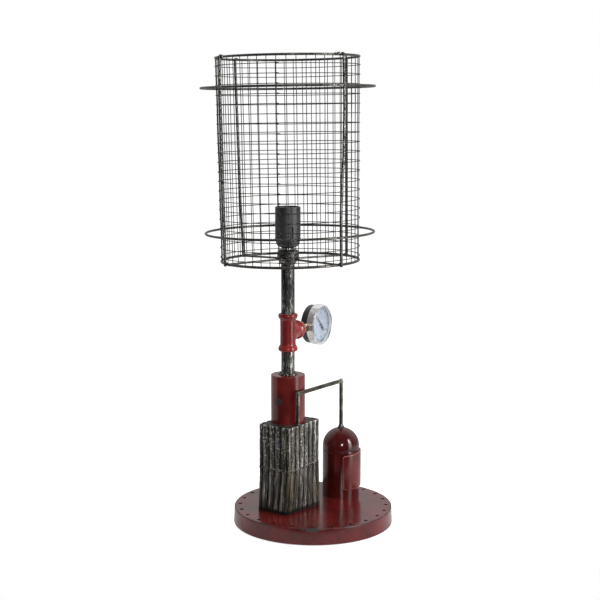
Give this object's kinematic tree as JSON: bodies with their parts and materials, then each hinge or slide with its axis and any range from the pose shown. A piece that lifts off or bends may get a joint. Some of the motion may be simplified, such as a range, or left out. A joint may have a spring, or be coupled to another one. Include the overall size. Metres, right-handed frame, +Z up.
{
  "type": "table lamp",
  "caption": "Table lamp built from a round weighted base, corrugated box, pipe, tee with dial gauge, small tank and an open-topped wire mesh cylinder shade round a bulb holder.",
  "frame": {"origin": "middle of the round base on the surface it stands on", "axes": "+Z up along the pipe, the gauge dial looks along -Y, the small tank stands on the +X side"},
  "size_m": [0.2662, 0.2674, 0.6785],
  "materials": {
    "red_paint": "glossy red enamel, worn at edges",
    "weathered_steel": "weathered dark corrugated sheet with bright rubbed ridges",
    "pipe_iron": "distressed dark iron with silver rubbed patches",
    "shade_wire": "dark bare steel wire",
    "bakelite": "satin black moulded",
    "porcelain": "white unglazed porcelain",
    "brass": "plain brass",
    "case_black": "black enamel",
    "bezel_chrome": "polished",
    "clear_glass": "clear flat glass",
    "dial_white": "matt white with black graduations",
    "pointer_black": "matt black",
    "seat_black": "plain",
    "soft_rubber": "matt black",
    "ballast_iron": "as cast",
    "zinc_steel": "zinc plated"
  },
  "bodies": {
    "root": {"ballast_plate": "ballast_iron", "base_pan": "red_paint", "bottom_cover": "zinc_steel", "bottom_ring": "shade_wire", "bourdon_tube": "brass", "box_top_plate": "weathered_steel", "cable_grommet": "soft_rubber", "centre_contact": "brass", "ceramic_insert": "porcelain", "corner_posts": "weathered_steel", "cover_screws": "zinc_steel", "dial_seat": "seat_black", "gauge_bezel": "bezel_chrome", "gauge_case": "case_black", "gauge_dial": "dial_white", "gauge_glass": "clear_glass", "gauge_stem": "brass", "holder_cap": "bakelite", "holder_skirt": "bakelite", "lamp_nipple": "zinc_steel", "lower_back_panel": "weathered_steel", "lower_front_panel": "weathered_steel", "lower_left_panel": "weathered_steel", "lower_outer_ring": "shade_wire", "lower_pipe": "pipe_iron", "lower_right_panel": "weathered_steel", "mesh_hoops": "shade_wire", "mesh_uprights": "shade_wire", "movement_frame": "brass", "pipe_tee": "red_paint", "pipe_weld_ring": "pipe_iron", "pole_locknut": "zinc_steel", "red_sleeve": "red_paint", "reducing_bush": "brass", "ring_standoffs": "shade_wire", "rod_foot_weld": "pipe_iron", "rubber_feet": "soft_rubber", "screw_shell": "brass", "seam_weld": "weathered_steel", "shade_struts": "shade_wire", "sleeve_cap": "red_paint", "spider_hub": "pipe_iron", "spider_spokes": "shade_wire", "tank_body": "red_paint", "tank_dome": "red_paint", "tank_plate": "red_paint", "terminal_screws": "brass", "tie_rod": "pipe_iron", "top_collar": "pipe_iron", "top_ring": "shade_wire", "upper_back_panel": "weathered_steel", "upper_front_panel": "weathered_steel", "upper_left_panel": "weathered_steel", "upper_outer_ring": "shade_wire", "upper_pipe": "pipe_iron", "upper_right_panel": "weathered_steel"},
    "pointer": {"gauge_pointer": "pointer_black", "pointer_arbor": "brass"},
    "sector": {"sector_gear": "brass"},
    "link": {"tip_link": "brass"}
  },
  "joints": [
    {"name": "pointer_sweep", "type": "hinge", "parent": "root", "child": "pointer", "pos_m": [0.05242, 0.03048, 0.2845], "axis": [-0.1045, 0.9945, 0], "range_deg": [0, 270]},
    {"name": "sector_swing", "type": "hinge", "parent": "root", "child": "sector", "pos_m": [0.05242, 0.03048, 0.2712], "axis": [-0.1045, 0.9945, 0], "range_deg": [-40.5, 0]},
    {"name": "link_follow", "type": "hinge", "parent": "sector", "child": "link", "pos_m": [0.05452, 0.0307, 0.26667], "axis": [-0.1045, 0.9945, 0], "range_deg": [0, 40.5]}
  ],
  "couplings": [
    {"joint": "sector_swing", "follows": "pointer_sweep", "ratio": -0.15},
    {"joint": "link_follow", "follows": "pointer_sweep", "ratio": 0.15}
  ]
}
